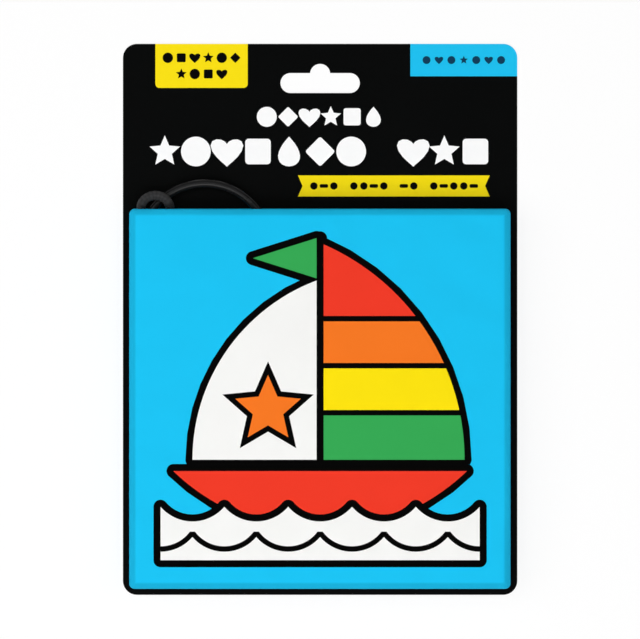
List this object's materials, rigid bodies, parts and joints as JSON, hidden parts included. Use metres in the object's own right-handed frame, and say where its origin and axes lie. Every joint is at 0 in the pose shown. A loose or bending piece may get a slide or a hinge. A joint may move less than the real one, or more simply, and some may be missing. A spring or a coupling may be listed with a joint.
{
  "type": "stroller book",
  "caption": "Soft square cloth book glued to its hanging card, with a cord loop and a snap ring; the cover shows a sailing boat and turns on its spine.",
  "frame": {"origin": "middle of the card's back, on the surface that the card lies on", "axes": "+Z out of the front cover, +Y towards the card's hanging slot, +X to the right of the cover"},
  "size_m": [0.146, 0.204, 0.0169],
  "materials": {
    "board": "coated board, soft sheen",
    "yellow_ink": "satin ink",
    "blue_ink": "satin ink",
    "white_ink": "satin ink",
    "black_ink": "satin ink",
    "navy_ink": "satin ink",
    "red_ink": "satin ink",
    "orange_ink": "satin ink",
    "green_ink": "satin ink",
    "glue": "tacky",
    "blue_cloth": "fine woven polyester, matte",
    "page_cloth": "fine woven polyester, matte",
    "cord": "braided polyester cord, matte",
    "ring_plastic": "glossy",
    "pin_steel": "satin"
  },
  "bodies": {
    "card_and_book": {"hang_card": "board", "card_print_yellow": "yellow_ink", "card_print_blue": "blue_ink", "card_print_white": "white_ink", "card_print_black": "black_ink", "card_print_navy": "navy_ink", "glue_dots": "glue", "back_cover": "blue_cloth", "pages": "page_cloth", "spine": "blue_cloth", "ring_loop": "cord"},
    "cover": {"front_cover": "blue_cloth", "cover_print_black": "black_ink", "cover_print_red": "red_ink", "cover_print_orange": "orange_ink", "cover_print_yellow": "yellow_ink", "cover_print_green": "green_ink", "cover_print_white": "white_ink"},
    "ring": {"ring_body": "ring_plastic", "gate_pin": "pin_steel"},
    "gate": {"ring_gate": "ring_plastic"}
  },
  "joints": [
    {"name": "cover_hinge", "type": "hinge", "parent": "card_and_book", "child": "cover", "pos_m": [-0.0705, -0.0295, 0.0148], "axis": [0, -1, 0], "range_deg": [0, 180]},
    {"name": "ring_swing", "type": "hinge", "parent": "card_and_book", "child": "ring", "pos_m": [-0.0609, 0.041, 0.00485], "axis": [0, 0, 1], "range_deg": [0, 65]},
    {"name": "ring_gate_hinge", "type": "hinge", "parent": "ring", "child": "gate", "pos_m": [-0.0362, 0.00257, 0.00485], "axis": [0, 0, 1], "range_deg": [0, 30], "stiffness_Nm_per_rad": 0.01, "springref_deg": -17.19}
  ]
}
